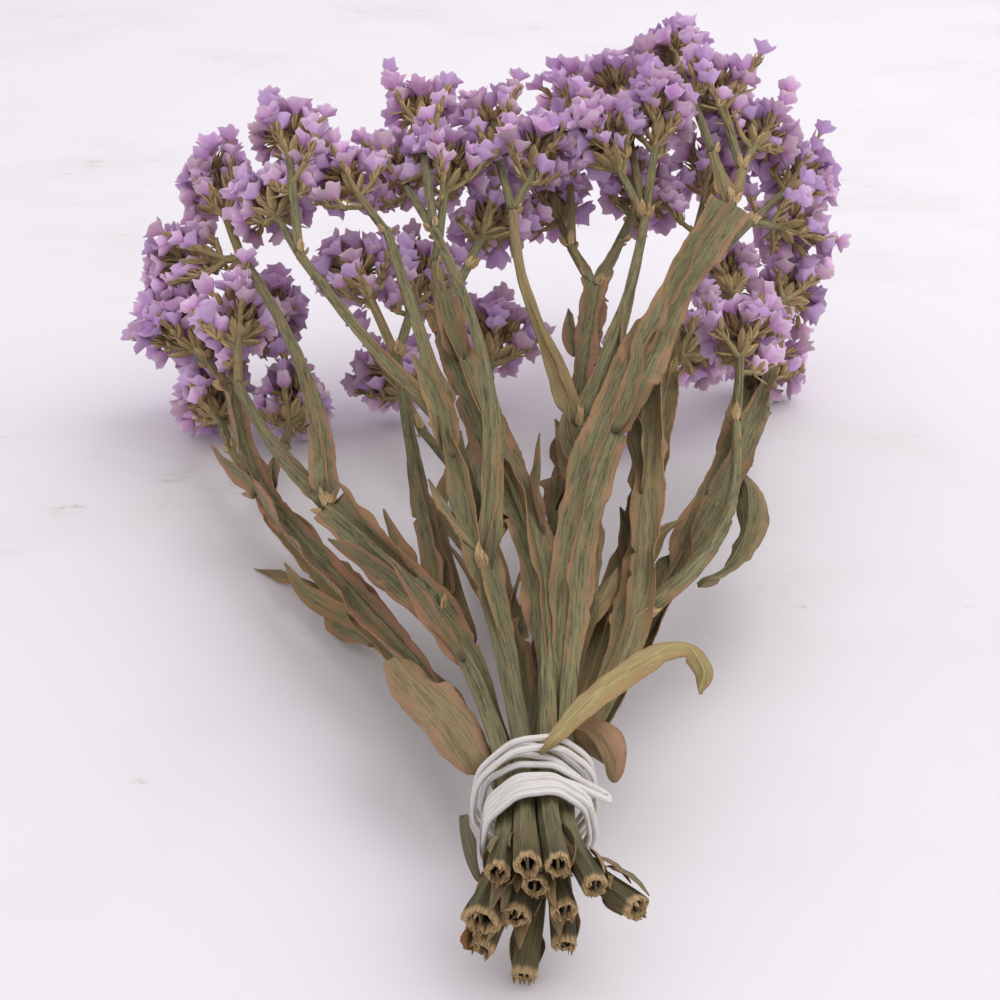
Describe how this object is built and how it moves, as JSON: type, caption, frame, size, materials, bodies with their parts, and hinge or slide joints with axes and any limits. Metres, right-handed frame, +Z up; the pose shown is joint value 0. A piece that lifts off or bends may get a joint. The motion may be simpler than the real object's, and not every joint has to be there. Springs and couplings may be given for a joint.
{
  "type": "bunch of dried statice",
  "caption": "Small bunch of dried statice lying down: winged olive stems tied near the cut ends with white elastic cord, with papery lilac flower heads.",
  "frame": {"origin": "middle of the bunch's footprint, on the surface that it lies on", "axes": "+X across the bunch, +Y along the stems from the cut ends to the flower heads, +Z up"},
  "size_m": [0.222, 0.3752, 0.1094],
  "materials": {
    "stem": "dry, matt, fibrous",
    "flower_head": "papery, matt, slightly translucent",
    "dry_leaf": "dry, brittle, matt",
    "tie_cord": "flat woven elastic, matt"
  },
  "bodies": {
    "root": {"cord": "tie_cord", "stem_left": "stem", "stem_low_left": "stem", "stem_upper_left": "stem", "stem_top_left": "stem", "stem_top": "stem", "stem_centre": "stem", "stem_top_right": "stem", "stem_right": "stem", "stem_low_right": "stem", "stem_bottom": "stem", "stem_inner_left": "stem", "stem_inner_right": "stem", "leaf_front": "dry_leaf", "leaf_tie_right": "dry_leaf", "leaf_tie_left": "dry_leaf", "leaf_foot": "dry_leaf", "leaf_far_left": "dry_leaf", "leaf_middle": "dry_leaf", "leaf_far_right": "dry_leaf", "flower_left_1": "flower_head", "flower_left_2": "flower_head", "flower_left_3": "flower_head", "flower_low_left_1": "flower_head", "flower_low_left_2": "flower_head", "flower_upper_left_1": "flower_head", "flower_upper_left_2": "flower_head", "flower_upper_left_3": "flower_head", "flower_upper_left_4": "flower_head", "flower_upper_left_5": "flower_head", "flower_top_left_1": "flower_head", "flower_top_left_2": "flower_head", "flower_top_left_3": "flower_head", "flower_top_left_4": "flower_head", "flower_top_left_5": "flower_head", "flower_top_1": "flower_head", "flower_top_2": "flower_head", "flower_centre_1": "flower_head", "flower_centre_2": "flower_head", "flower_centre_3": "flower_head", "flower_centre_4": "flower_head", "flower_centre_5": "flower_head", "flower_top_right_1": "flower_head", "flower_top_right_2": "flower_head", "flower_top_right_3": "flower_head", "flower_right_1": "flower_head", "flower_right_2": "flower_head", "flower_right_3": "flower_head", "flower_low_right_1": "flower_head", "flower_low_right_2": "flower_head", "flower_low_right_3": "flower_head", "flower_bottom_1": "flower_head", "flower_bottom_2": "flower_head", "flower_bottom_3": "flower_head", "flower_inner_left_1": "flower_head", "flower_inner_left_2": "flower_head", "flower_inner_left_3": "flower_head", "flower_inner_right_1": "flower_head", "flower_inner_right_2": "flower_head"}
  },
  "joints": []
}
